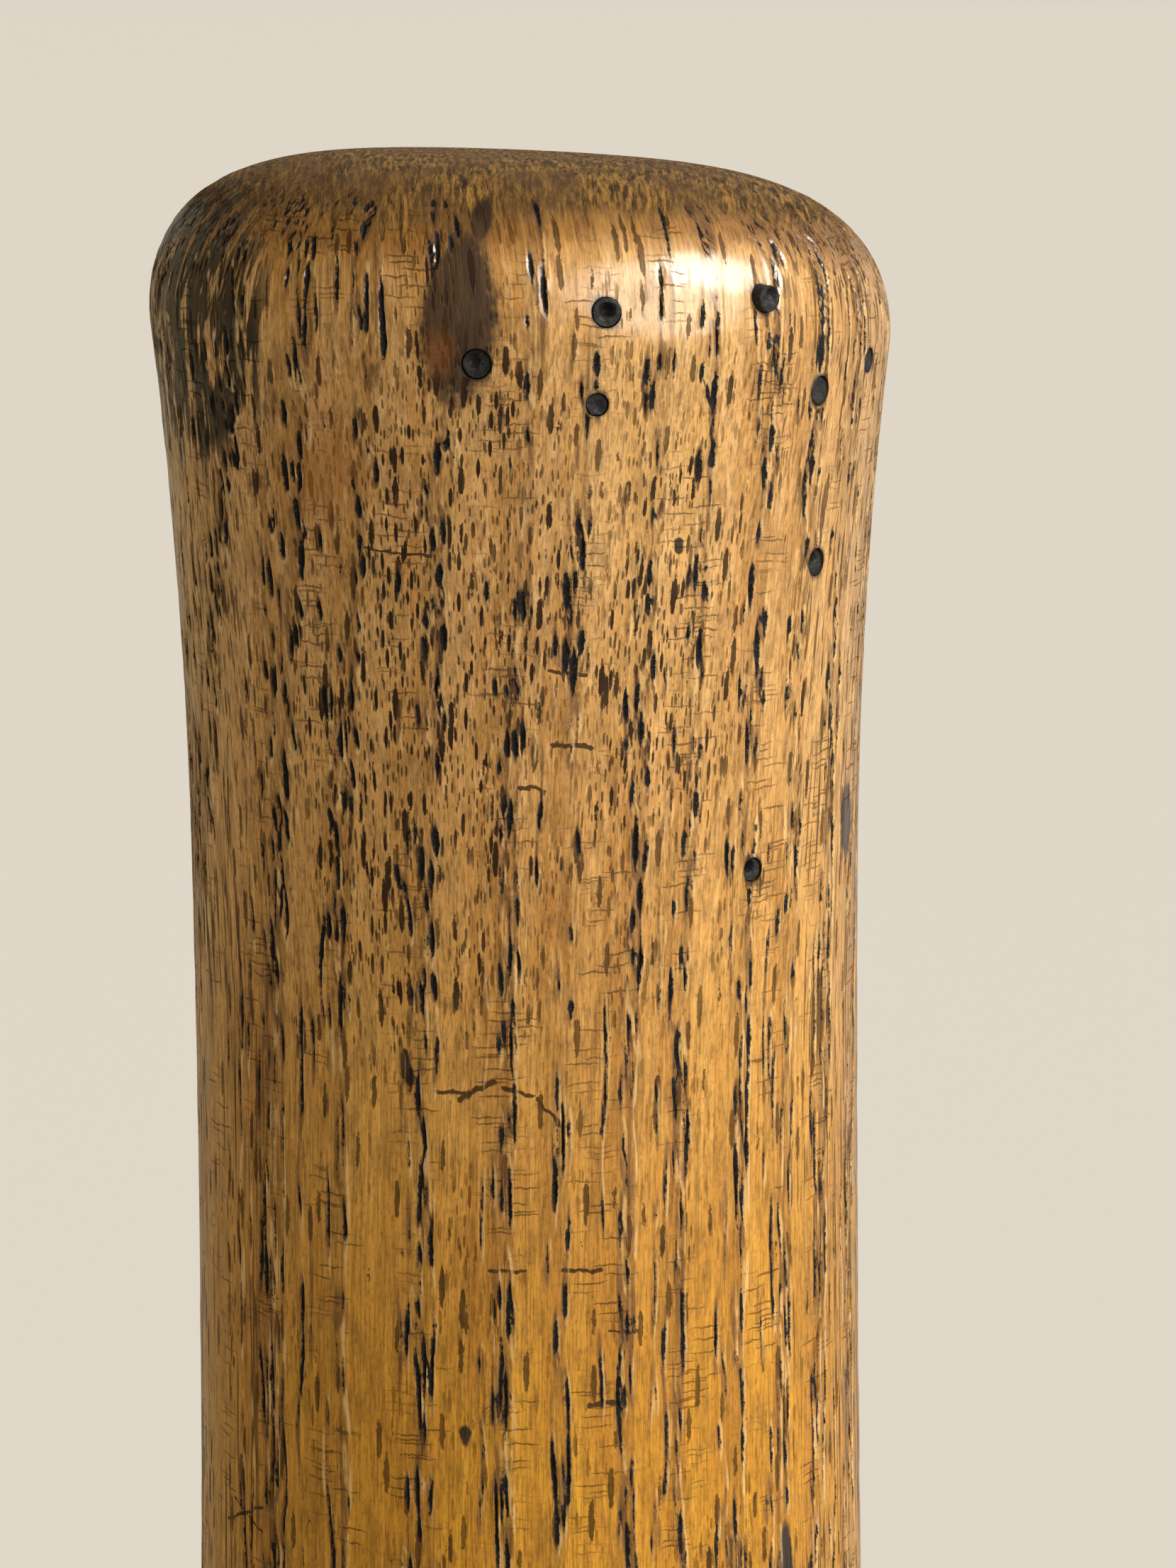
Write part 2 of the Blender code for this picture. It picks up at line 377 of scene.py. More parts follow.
# near-black specks on the skin: (azimuth, distance below the handle end) and width
SPECKS = (
    ((-10.6, 55.5), 0.40),
    ((24.4, 15.9), 0.28),
    ((-21.8, 36.3), 0.22),
    ((-19.4, 39.4), 0.36),
    ((-21.0, 47.4), 0.20),
    ((5.6, 48.9), 0.14),
    ((-19.8, 38.4), 0.16),
)
for piece in billet:
    mesh = piece.data
    points = np.empty(len(mesh.vertices) * 3, np.float32)
    mesh.vertices.foreach_get("co", points)
    points = points.reshape(-1, 3).astype(float)
    below = LENGTH - points[:, 2]
    below = below - slant_drop(points[:, 0], below)
    radius = np.hypot(points[:, 0], points[:, 1])
    azimuth = np.degrees(np.arctan2(points[:, 0], -points[:, 1]))
    grain = to_grain(points, below)
    rings = np.interp(grain[:, 0], ring_edges, np.arange(len(ring_edges)))
    full = side_radius(below)
    share = np.clip(radius / full, 0, 1)
    # how much further down the rim's dark band reaches: more down the sides than round 24° to the right
    rim_reach = 0.06 * smooth_step(np.abs(azimuth - 24), 12, 40)
    end_facing = np.where(below < 20, smooth_step(share, 0.96 + rim_reach, 0.70 + rim_reach), 0)
    tip_facing = np.where(below > LENGTH - 20, smooth_step(share, 0.995, 0.80), 0)
    add_attribute(mesh, "grain", grain, "FLOAT_VECTOR")
    add_attribute(mesh, "rings", rings)
    skin = np.stack([np.radians(azimuth) * full, below, 0 * below], 1)
    add_attribute(mesh, "skin", skin, "FLOAT_VECTOR")
    add_attribute(mesh, "end_grain", np.maximum(end_facing, tip_facing))
    if piece is billet[0]:
        on_side = smooth_step(share, 0.66, 0.84)
        teardrop = 1.4 * (0.86 + 0.20 * smooth_step(below, 3.0, 6.5))
        stain = patch(azimuth, below, (-9.0, 6.2), (teardrop, 3.5), -0.05)
        cut_here = smooth_step(below, DRAWN_FROM, CUT_TO)
        cut, rightwards = vessel_cut(grain)
        cut = cut - 0.25 * smooth_step(stain, 0.30, 0.55)
        fade = cut_here * smooth_step(share, 0.70, 0.78)
        cut = np.where(fade > 0, cut - (1 - fade) * 0.2, -1)
        bore_edge = np.ones(len(points))
        for degrees, hole_below, bore, sunk in HOLES:
            place, out = hole_axis(degrees, hole_below)
            offset = points - place
            depth = offset @ out
            sideways = np.linalg.norm(offset - depth[:, None] * out, axis=1)
            inside = (sideways < bore / 2 + 0.04) & (depth > -BORE_DEPTH - 0.5)
            bore_edge[inside] = 0
        groove = -GROOVE_DEPTH * smooth_step(cut, -0.01, 0.08)
        lip = LIP_HEIGHT * smooth_step(cut, -0.15, -0.04) * smooth_step(cut, 0.03, -0.03)
        normals = np.empty(len(points) * 3, np.float32)
        mesh.vertex_normals.foreach_get("vector", normals)
        points += normals.reshape(-1, 3) * ((groove + lip) * bore_edge)[:, None]
        vessel = np.where(bore_edge > 0, np.clip(cut / 0.2, -1, 1), -1)
        add_attribute(mesh, "vessel", vessel)
        add_attribute(mesh, "rightwards", np.clip(rightwards / 0.2, -1, 1))
        add_attribute(mesh, "near_end", cut_here)
        add_attribute(mesh, "bore_wall", 1 - bore_edge)
        stain = np.maximum(stain, patch(azimuth, below, (-6.4, 2.0), (0.5, 1.1)) * on_side)
        stain = np.maximum(stain, patch(azimuth, below, (69.8, 29.8), (0.8, 1.6)))
        add_attribute(mesh, "ember", patch(azimuth, below, (-12.0, 7.8), (1.0, 1.5)))
        add_attribute(mesh, "stain", stain)
        drop = patch(azimuth, below, (47.2, 65.0), (0.62, 3.9))
        for spot, width in SPECKS:
            drop = np.maximum(drop, patch(azimuth, below, spot, (width, width * 1.2)))
        add_attribute(mesh, "drop", drop)
        add_attribute(mesh, "soot", patch(azimuth, below, (-66, 7.6), (6.5, 5.4)))
        add_attribute(mesh, "amber", patch(azimuth, below, (-31.4, 12.9), (3.0, 3.4)))
        torn = patch(azimuth, below, (-16, 21), (7.5, 18), -0.10)
        torn = np.maximum(torn, 0.7 * patch(azimuth, below, (22, 22), (7, 14)))
        add_attribute(mesh, "torn", torn)
    mesh.vertices.foreach_set("co", (points * MM).astype(np.float32).ravel())
    mesh.update()
    mesh.shade_smooth()
    mesh.set_sharp_from_angle(angle=math.radians(60))
    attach(piece, "root")
    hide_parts("bat_body")


# ---------------------------------------------------------------------------------------------
# The wax: dark grey stopping wax, rubbed warm into the beetle holes and into every open pore, dull
# and slightly bluish, with dust in it.


def add(tree, kind, settings=None, **inputs):
    """A shader node of this kind, with its settings set and its inputs given values or links."""
    made = tree.nodes.new("ShaderNode" + kind)
    for key, value in (settings or {}).items():
        setattr(made, key, value)
    for key, value in inputs.items():
        socket = made.inputs[key.replace("_", " ")]
        if isinstance(value, bpy.types.NodeSocket):
            tree.links.new(value, socket)
        else:
            socket.default_value = value
    return made


def sums(tree, operation, *values):
    """The result of one Math node on these values."""
    made = tree.nodes.new("ShaderNodeMath")
    made.operation = operation
    for socket, value in zip(made.inputs, values):
        if isinstance(value, bpy.types.NodeSocket):
            tree.links.new(value, socket)
        else:
            socket.default_value = value
    return made.outputs[0]


def remap(tree, value, low, high, to_low=0.0, to_high=1.0):
    """The value eased from low..high to another range, and held at its ends."""
    made = add(tree, "MapRange", {"interpolation_type": "SMOOTHSTEP"}, Value=value)
    made.inputs["From Min"].default_value = low
    made.inputs["From Max"].default_value = high
    made.inputs["To Min"].default_value = to_low
    made.inputs["To Max"].default_value = to_high
    return made.outputs[0]


def blend_colours(tree, share, first, second, how="MIX"):
    """The first colour with the second laid over it by this share."""
    made = tree.nodes.new("ShaderNodeMix")
    made.data_type = "RGBA"
    made.blend_type = how
    for socket, value in ((made.inputs[0], share), (made.inputs[6], first), (made.inputs[7], second)):
        if isinstance(value, bpy.types.NodeSocket):
            tree.links.new(value, socket)
        else:
            socket.default_value = (*value, 1.0) if isinstance(value, tuple) else value
    return made.outputs[2]


def stretched(tree, vector, scale):
    """The places scaled by a different number along each axis."""
    made = add(tree, "VectorMath", {"operation": "MULTIPLY"})
    tree.links.new(vector, made.inputs[0])
    made.inputs[1].default_value = scale
    return made.outputs[0]


def cloudy(tree, vector, scale, detail=3.0, roughness=0.55):
    """Soft noise between about 0.2 and 0.8."""
    return add(
        tree, "TexNoise", Vector=vector, Scale=scale, Detail=detail, Roughness=roughness
    ).outputs["Fac"]


def new_group(name, inputs, outputs):
    """An empty shader node group with these (kind, name) sockets, and its two end nodes."""
    group = bpy.data.node_groups.new(name, "ShaderNodeTree")
    for kind, socket in inputs:
        group.interface.new_socket(socket, in_out="INPUT", socket_type=kind)
    for kind, socket in outputs:
        group.interface.new_socket(socket, in_out="OUTPUT", socket_type=kind)
    return group, group.nodes.new("NodeGroupInput"), group.nodes.new("NodeGroupOutput")


WAX_BLACK = (0.003, 0.003, 0.003)
WAX_GREY = (0.020, 0.019, 0.020)
DUST = (0.058, 0.054, 0.050)
wax_look, wax_in, wax_out = new_group(
    "dark wax",
    (("NodeSocketVector", "Place in mm"),),
    (
        ("NodeSocketColor", "Colour"),
        ("NodeSocketFloat", "Roughness"),
        ("NodeSocketFloat", "Height"),
    ),
)
wax_clouds = cloudy(wax_look, wax_in.outputs[0], 2.6, 4.0, 0.6)
wax_dust = remap(wax_look, cloudy(wax_look, wax_in.outputs[0], 9.0, 3.0, 0.7), 0.52, 0.72)
wax_tone = blend_colours(wax_look, wax_clouds, WAX_BLACK, WAX_GREY)
wax_tone = blend_colours(wax_look, wax_dust, wax_tone, DUST)
wax_look.links.new(wax_tone, wax_out.inputs["Colour"])
wax_look.links.new(remap(wax_look, wax_clouds, 0.3, 0.7, 0.42, 0.72), wax_out.inputs["Roughness"])
wax_look.links.new(
    sums(wax_look, "ADD", wax_clouds, sums(wax_look, "MULTIPLY", wax_dust, 0.3)),
    wax_out.inputs["Height"],
)


# ---------------------------------------------------------------------------------------------
# The finish: amber shellac, brushed on thin, worn dull by hands and darker round the rim, over pale
# ringed ash with its fine pores, hairline checks and brown end grain, with a painted highlight and
# painted shade on the two lips of each vessel.

ash = bpy.data.materials.new("shellacked_ash")
ash.use_nodes = True
tree = ash.node_tree
tree.nodes.remove(tree.nodes["Principled BSDF"])
shader = add(tree, "BsdfPrincipled")
tree.links.new(shader.outputs[0], tree.nodes["Material Output"].inputs[0])


def painted(name):
    """A value or place carried by the mesh's own points, 0 where the mesh has none."""
    return add(tree, "Attribute", {"attribute_name": name})


grain_place = painted("grain").outputs["Vector"]
skin_place = painted("skin").outputs["Vector"]
ring_place = painted("rings").outputs["Fac"]
end_grain = painted("end_grain").outputs["Fac"]
near_end = painted("near_end").outputs["Fac"]
through_ring = sums(tree, "FRACT", ring_place)

# wood colour: broad patches, growth rings, fibres, warmer away from the handle end
HONEY = (0.540, 0.292, 0.080)
PALE = (0.690, 0.425, 0.180)
TAWNY = (0.400, 0.188, 0.038)
AMBER_TINT = (0.89, 0.72, 0.08)
SLOT_BROWN = (0.024, 0.011, 0.004)
END_DARK = (0.018, 0.009, 0.002)
END_GOLD = (0.270, 0.142, 0.030)
END_BROWN = (0.080, 0.040, 0.014)
# the rim darkened further, more down the sides than round 24° to the right
RIM_DARKENING = (0.50, 0.41, 0.21)
AMBER_STAIN = (0.300, 0.110, 0.012)
STAIN_DARK = (0.016, 0.007, 0.003)
STAIN_BROWN = (0.050, 0.021, 0.007)
EMBER = (0.130, 0.040, 0.006)
SOOT = (0.008, 0.005, 0.003)
DROP_BLACK = (0.012, 0.006, 0.003)
# painted highlight and painted shade for the right and left lips of the vessels
LIP_HIGHLIGHT = (0.760, 0.500, 0.210)
LIP_SHADE = (0.090, 0.040, 0.012)
BORE_BROWN = (0.020, 0.011, 0.006)
torn = painted("torn").outputs["Fac"]
place_on_skin = add(tree, "SeparateXYZ", Vector=skin_place)
arc = place_on_skin.outputs["X"]
below_end = place_on_skin.outputs["Y"]
patches = cloudy(tree, stretched(tree, grain_place, (0.10, 0.10, 0.035)), 1.0, 3.0, 0.6)
fibres = cloudy(tree, stretched(tree, grain_place, (3.2, 3.2, 0.10)), 1.0, 4.0, 0.7)
fine_fibres = cloudy(tree, stretched(tree, grain_place, (11.0, 11.0, 0.55)), 1.0, 2.0, 0.6)
mottle = cloudy(tree, stretched(tree, grain_place, (1.1, 1.1, 0.5)), 1.0, 4.0, 0.65)
grit = cloudy(tree, stretched(tree, grain_place, (6.0, 6.0, 3.0)), 1.0, 3.0, 0.7)
wood = blend_colours(tree, remap(tree, patches, 0.30, 0.66), TAWNY, HONEY)
wood = blend_colours(tree, remap(tree, fibres, 0.42, 0.78, 0.0, 0.8), wood, PALE)
latewood = remap(tree, through_ring, 0.40, 0.80)
wood = blend_colours(tree, sums(tree, "MULTIPLY", latewood, 0.22), wood, PALE)
amber_tint = blend_colours(tree, remap(tree, below_end, 14.0, 60.0), (1.0, 1.0, 1.0), AMBER_TINT)
wood = blend_colours(tree, 1.0, wood, amber_tint, "MULTIPLY")
shade = remap(tree, fine_fibres, 0.28, 0.60, 0.66, 1.06)
shade = sums(tree, "MULTIPLY", shade, remap(tree, mottle, 0.28, 0.60, 0.76, 1.05))
shade = sums(tree, "MULTIPLY", shade, remap(tree, grit, 0.28, 0.55, 0.72, 1.04))
earlywood = remap(tree, through_ring, 0.45, 0.15)
ring_contrast = remap(tree, below_end, 66.0, 140.0, -0.12, -0.42)
shade = sums(tree, "MULTIPLY", shade, sums(tree, "MULTIPLY_ADD", earlywood, ring_contrast, 1.0))

# fine brown slots: the small pores of the late wood, cut lengthwise, thickest where grain is torn
torn_clouds = cloudy(tree, stretched(tree, grain_place, (0.5, 0.5, 0.14)), 1.0, 3.0)
torn_here = remap(tree, sums(tree, "MULTIPLY_ADD", torn, 0.42, torn_clouds), 0.48, 0.80)
slot_bend = sums(tree, "MULTIPLY_ADD", grit, 0.26, -0.13)


def slots(scale, size, edge):
    """Spindle-shaped slots scattered through the wood, this many to the mm along each axis."""
    cells = add(tree, "TexVoronoi", Vector=stretched(tree, grain_place, scale), Scale=1.0)
    return remap(tree, sums(tree, "ADD", cells.outputs["Distance"], slot_bend), size, size - edge)


small_slots = slots((3.3, 3.3, 0.48), 0.31, 0.07)
tiny_slots = slots((6.0, 6.0, 1.0), 0.34, 0.09)
middle_slots = slots((1.55, 1.55, 0.23), 0.235, 0.04)
small_share = sums(tree, "MULTIPLY_ADD", torn_here, 0.80, 0.20)
tiny_share = sums(tree, "MULTIPLY", torn_here, 0.80)
marks = sums(tree, "MULTIPLY", small_slots, small_share)
marks = sums(tree, "MAXIMUM", marks, sums(tree, "MULTIPLY", tiny_slots, tiny_share))
middle_share = sums(tree, "MULTIPLY_ADD", torn_here, 0.25, 0.74)
marks = sums(tree, "MAXIMUM", marks, sums(tree, "MULTIPLY", middle_slots, middle_share))

# long hair-thin lines where the turned side runs along the rings
flat_sawn = remap(tree, sums(tree, "ABSOLUTE", arc), 11.0, 15.5)
line_noise = cloudy(tree, stretched(tree, grain_place, (4.2, 4.2, 0.045)), 1.0, 2.0, 0.6)
hair_lines = remap(tree, line_noise, 0.425, 0.375)
hair_share = sums(tree, "MULTIPLY_ADD", flat_sawn, 0.62, 0.16)
marks = sums(tree, "MAXIMUM", marks, sums(tree, "MULTIPLY", hair_lines, hair_share))

# hairline checks straight across the grain, in loose groups
check_warp = sums(tree, "MULTIPLY_ADD", mottle, 0.5, -0.25)
check_place = add(tree, "CombineXYZ", X=arc, Y=sums(tree, "ADD", below_end, check_warp)).outputs[0]
check_place = stretched(tree, check_place, (0.24, 4.6, 1.0))
check_cells = add(tree, "TexVoronoi", {"voronoi_dimensions": "2D"}, Vector=check_place, Scale=1.0)
check_pick = add(tree, "SeparateColor", Color=check_cells.outputs["Color"]).outputs[0]
check_group = remap(
    tree, cloudy(tree, stretched(tree, skin_place, (0.17, 0.17, 1.0)), 1.0, 3.0), 0.40, 0.58
)
checks = remap(tree, check_cells.outputs["Distance"], 0.24, 0.12)
checks = sums(tree, "MULTIPLY", checks, remap(tree, check_pick, 0.45, 0.60))
checks = sums(tree, "MULTIPLY", checks, sums(tree, "MULTIPLY", check_group, 0.62))
marks = sums(tree, "MAXIMUM", marks, checks)

# scores and nicks across the grain, each from one place on the skin to another, in mm
scored_line, score_in, score_out = new_group(
    "scored line",
    (
        ("NodeSocketVector", "Place"),
        ("NodeSocketVector", "From"),
        ("NodeSocketVector", "To"),
        ("NodeSocketFloat", "Half width"),
    ),
    (("NodeSocketFloat", "Mask"),),
)
wobble = add(scored_line, "TexNoise", Vector=score_in.outputs["Place"], Scale=1.9, Detail=4.0)
wobble_shift = add(scored_line, "VectorMath", {"operation": "MULTIPLY_ADD"})
scored_line.links.new(wobble.outputs["Color"], wobble_shift.inputs[0])
wobble_shift.inputs[1].default_value = (0.4, 0.4, 0.0)
scored_line.links.new(score_in.outputs["Place"], wobble_shift.inputs[2])


def vectors(operation, first, second):
    """The Vector Math node of this kind on two linked vectors."""
    made = scored_line.nodes.new("ShaderNodeVectorMath")
    made.operation = operation
    scored_line.links.new(first, made.inputs[0])
    scored_line.links.new(second, made.inputs[3] if operation == "SCALE" else made.inputs[1])
    return made.outputs["Value"] if operation in ("DOT_PRODUCT", "LENGTH") else made.outputs["Vector"]


centred = add(scored_line, "VectorMath", {"operation": "SUBTRACT"})
scored_line.links.new(wobble_shift.outputs[0], centred.inputs[0])
centred.inputs[1].default_value = (0.2, 0.2, 0.0)
along_line = vectors("SUBTRACT", score_in.outputs["To"], score_in.outputs["From"])
from_start = vectors("SUBTRACT", centred.outputs[0], score_in.outputs["From"])
share_along = sums(
    scored_line,
    "DIVIDE",
    vectors("DOT_PRODUCT", from_start, along_line),
    vectors("DOT_PRODUCT", along_line, along_line),
)
share_along = add(scored_line, "Clamp", Value=share_along).outputs[0]
off_line = vectors("SUBTRACT", from_start, vectors("SCALE", along_line, share_along))
line_gap = add(scored_line, "VectorMath", {"operation": "LENGTH"})
scored_line.links.new(off_line, line_gap.inputs[0])
inside_line = sums(scored_line, "DIVIDE", line_gap.outputs["Value"], score_in.outputs["Half width"])
ragged = cloudy(scored_line, score_in.outputs["Place"], 3.4, 3.0, 0.7)
ragged = sums(scored_line, "MULTIPLY_ADD", ragged, 2.4, -1.2)
inside_line = sums(scored_line, "ADD", inside_line, ragged)
scored_line.links.new(remap(scored_line, inside_line, 1.25, 0.65), score_out.inputs[0])

# (degrees round, mm below the end) from and to, half width
SCORES = (
    ((-14.6, 39.8), (-10.0, 39.8), 0.10),
    ((-11.0, 40.1), (-5.5, 39.2), 0.13),
    ((-4.0, 39.5), (0.5, 39.9), 0.10),
    ((1.5, 40.1), (6.3, 41.5), 0.10),
    ((4.2, 24.4), (10.5, 24.5), 0.10),
    ((-0.8, 26.2), (3.0, 26.4), 0.10),
    ((4.0, 21.2), (9.5, 21.4), 0.08),
    ((-6.5, 47.8), (-0.5, 47.8), 0.08),
    ((5.5, 47.8), (11.5, 47.9), 0.11),
    ((13.0, 50.7), (17.5, 50.8), 0.07),
    ((15.0, 49.6), (15.2, 52.0), 0.06),
    ((9.5, 54.0), (14.0, 54.0), 0.11),
    ((-26.0, 16.1), (-14.0, 16.3), 0.06),
    ((-63.0, 62.2), (-51.0, 60.6), 0.07),
    ((-60.0, 60.9), (-51.0, 61.9), 0.05),
)
for start, stop, half_width in SCORES:
    scored = tree.nodes.new("ShaderNodeGroup")
    scored.node_tree = scored_line
    tree.links.new(skin_place, scored.inputs["Place"])
    for socket, (degrees, down) in (("From", start), ("To", stop)):
        round_the_skin = math.radians(degrees) * float(side_radius(down))
        scored.inputs[socket].default_value = (round_the_skin, down, 0)
    scored.inputs["Half width"].default_value = half_width
    marks = sums(tree, "MAXIMUM", marks, sums(tree, "MULTIPLY", scored.outputs[0], 0.9))

wood = blend_colours(tree, 1.0, wood, shade, "MULTIPLY")
wood = blend_colours(tree, marks, wood, SLOT_BROWN)

# end grain: dark brown and gold, brushed slantwise by sanding, with dark pore mouths
sanded = add(tree, "Mapping")
tree.links.new(add(tree, "TexCoord").outputs["Object"], sanded.inputs["Vector"])
sanded.inputs["Rotation"].default_value = (0, 0, math.radians(14))
sanded.inputs["Scale"].default_value = (5200, 620, 620)
sanding = cloudy(tree, sanded.outputs[0], 1.0, 4.0, 0.7)
end_tone = blend_colours(tree, remap(tree, sanding, 0.38, 0.68), END_DARK, END_GOLD)
end_clouds = cloudy(tree, stretched(tree, grain_place, (0.3, 0.3, 0.3)), 1.0, 2.0)
end_wash = remap(tree, end_clouds, 0.42, 0.62, 0.0, 0.6)
end_tone = blend_colours(tree, end_wash, end_tone, END_BROWN)
end_edge = sums(tree, "MULTIPLY_ADD", mottle, 0.9, -0.45)
end_edge = sums(tree, "ADD", end_edge, sums(tree, "MULTIPLY_ADD", sanding, 0.5, -0.25))
# the rim darkened further still, the darker band reaching lower down the sides than round 24° to the right
rim_darkening = remap(tree, sums(tree, "MULTIPLY_ADD", end_edge, 0.5, end_grain), 0.02, 0.50)
wood = blend_colours(tree, rim_darkening, wood, RIM_DARKENING, "MULTIPLY")
end_share = remap(tree, sums(tree, "ADD", end_grain, end_edge), 0.48, 0.92)
wood = blend_colours(tree, sums(tree, "MULTIPLY", end_share, 0.94), wood, end_tone)

# stains: a brown teardrop with an ember patch, a warm patch, sooty strokes, near-black drops
stain_edge = sums(tree, "MULTIPLY_ADD", cloudy(tree, skin_place, 1.6, 4.0, 0.65), 0.40, -0.20)
amber = remap(tree, sums(tree, "ADD", painted("amber").outputs["Fac"], stain_edge), 0.20, 0.85)
wood = blend_colours(tree, sums(tree, "MULTIPLY", amber, 0.55), wood, AMBER_STAIN)
stain = remap(tree, sums(tree, "ADD", painted("stain").outputs["Fac"], stain_edge), 0.12, 0.42)
stain_tone = blend_colours(tree, remap(tree, fibres, 0.4, 0.7), STAIN_DARK, STAIN_BROWN)
ember = remap(tree, sums(tree, "ADD", painted("ember").outputs["Fac"], stain_edge), 0.30, 0.90)
stain_tone = blend_colours(tree, ember, stain_tone, EMBER)
wood = blend_colours(tree, sums(tree, "MULTIPLY", stain, 0.94), wood, stain_tone)
strokes = cloudy(tree, stretched(tree, skin_place, (1.5, 0.20, 1.0)), 1.0, 4.0, 0.65)
soot = sums(tree, "MULTIPLY", painted("soot").outputs["Fac"], remap(tree, strokes, 0.40, 0.53))
wood = blend_colours(tree, remap(tree, soot, 0.08, 0.34, 0.0, 0.97), wood, SOOT)
drop = sums(tree, "MULTIPLY_ADD", stain_edge, 0.5, painted("drop").outputs["Fac"])
drop = remap(tree, drop, 0.26, 0.40)
wood = blend_colours(tree, sums(tree, "MULTIPLY", drop, 0.95), wood, DROP_BLACK)

# open vessels, stopped with dark wax: cut into the mesh near the handle end, drawn further down
vessel = painted("vessel").outputs["Fac"]
far_place = stretched(tree, grain_place, (1.75, 1.75, 0.085))
far_cells = add(tree, "TexVoronoi", Vector=far_place, Scale=1.0)
far_vessel = remap(tree, far_cells.outputs["Distance"], 0.36, 0.28)
far_band = remap(tree, through_ring, 0.36, 0.27)
far_vessel = sums(tree, "MULTIPLY", far_vessel, far_band)
far_vessel = sums(tree, "MULTIPLY", far_vessel, sums(tree, "SUBTRACT", 1.0, near_end))
ragged_vessel = sums(tree, "ADD", vessel, sums(tree, "MULTIPLY_ADD", grit, 0.8, -0.4))
inside_vessel = remap(tree, ragged_vessel, -0.08, 0.12)
inside_vessel = sums(tree, "MULTIPLY", inside_vessel, remap(tree, vessel, -0.35, -0.2))
inside_vessel = sums(tree, "MULTIPLY", inside_vessel, near_end)
open_vessel = sums(tree, "MAXIMUM", inside_vessel, far_vessel)
wax = tree.nodes.new("ShaderNodeGroup")
wax.node_tree = wax_look
tree.links.new(grain_place, wax.inputs[0])
# painted light on the vessel lips: a painted highlight on the right-hand lip of each vessel, the side the
# lamps come from, and painted shade on its left-hand lip
near_vessel = sums(tree, "MULTIPLY", remap(tree, vessel, -0.55, -0.20), near_end)
lit_side = remap(tree, painted("rightwards").outputs["Fac"], -0.1, 0.6)
lip_highlight = sums(tree, "MULTIPLY", near_vessel, remap(tree, mottle, 0.62, 0.44, 0.0, 0.62))
lip_highlight = sums(tree, "MULTIPLY", lip_highlight, lit_side)
away_from_stain_and_rim = sums(tree, "SUBTRACT", 1.0, sums(tree, "MAXIMUM", stain, rim_darkening))
lip_highlight = sums(tree, "MULTIPLY", lip_highlight, away_from_stain_and_rim)
wood = blend_colours(tree, lip_highlight, wood, LIP_HIGHLIGHT)
lip_shade = sums(tree, "MULTIPLY", near_vessel, remap(tree, mottle, 0.40, 0.56, 0.0, 0.70))
lip_shade = sums(tree, "MULTIPLY", lip_shade, sums(tree, "SUBTRACT", 1.0, lit_side))
wood = blend_colours(tree, lip_shade, wood, LIP_SHADE)
wood = blend_colours(tree, open_vessel, wood, wax.outputs["Colour"])
bore_wall = painted("bore_wall").outputs["Fac"]
wood = blend_colours(tree, sums(tree, "MULTIPLY", bore_wall, 0.9), wood, BORE_BROWN)
tree.links.new(wood, shader.inputs["Base Color"])

# gloss: shellac over the wood, dull in the pores, in the dirt and in fine scratches
scratches = cloudy(tree, stretched(tree, skin_place, (0.6, 7.0, 1.0)), 1.0, 2.0, 0.5)
dullness = remap(tree, mottle, 0.30, 0.70, 0.30, 0.46)
dullness = sums(tree, "MULTIPLY_ADD", remap(tree, scratches, 0.5, 0.7), 0.08, dullness)
dullness = sums(tree, "MULTIPLY_ADD", marks, 0.2, dullness)
dullness = sums(tree, "MULTIPLY_ADD", end_share, 0.25, dullness)
gloss_mix = tree.nodes.new("ShaderNodeMix")
tree.links.new(open_vessel, gloss_mix.inputs[0])
tree.links.new(dullness, gloss_mix.inputs[2])
tree.links.new(wax.outputs["Roughness"], gloss_mix.inputs[3])
tree.links.new(gloss_mix.outputs[0], shader.inputs["Roughness"])
coat = remap(tree, marks, 0.0, 0.6, 1.0, 0.15)
coat = sums(tree, "MULTIPLY", sums(tree, "SUBTRACT", 1.0, open_vessel), coat)
coat = sums(tree, "MULTIPLY", coat, sums(tree, "MULTIPLY_ADD", end_share, -0.85, 1.0))
tree.links.new(coat, shader.inputs["Coat Weight"])
shader.inputs["Coat Roughness"].default_value = 0.20
shader.inputs["Coat IOR"].default_value = 1.62
shader.inputs["Specular IOR Level"].default_value = 0.12

# relief: fibres, slots and checks sunk a few hundredths of a millimetre
relief = sums(tree, "MULTIPLY", fine_fibres, 0.012)
relief = sums(tree, "MULTIPLY_ADD", fibres, 0.020, relief)
relief = sums(tree, "MULTIPLY_ADD", mottle, 0.030, relief)
relief = sums(tree, "MULTIPLY_ADD", marks, -0.045, relief)
relief = sums(tree, "MULTIPLY_ADD", far_vessel, -0.15, relief)
wax_relief = sums(tree, "MULTIPLY", open_vessel, wax.outputs["Height"])
relief = sums(tree, "MULTIPLY_ADD", wax_relief, 0.06, relief)
bump = add(tree, "Bump", Strength=1.0, Distance=MM, Height=relief)
tree.links.new(bump.outputs[0], shader.inputs["Normal"])
for piece in billet:
    piece.data.materials.clear()
    piece.data.materials.append(ash)


# ---------------------------------------------------------------------------------------------
# The wax plugs: the stopping in the beetle holes, pressed in level with the wood or a little below
# it, each with a hollow middle where it shrank as it cooled.

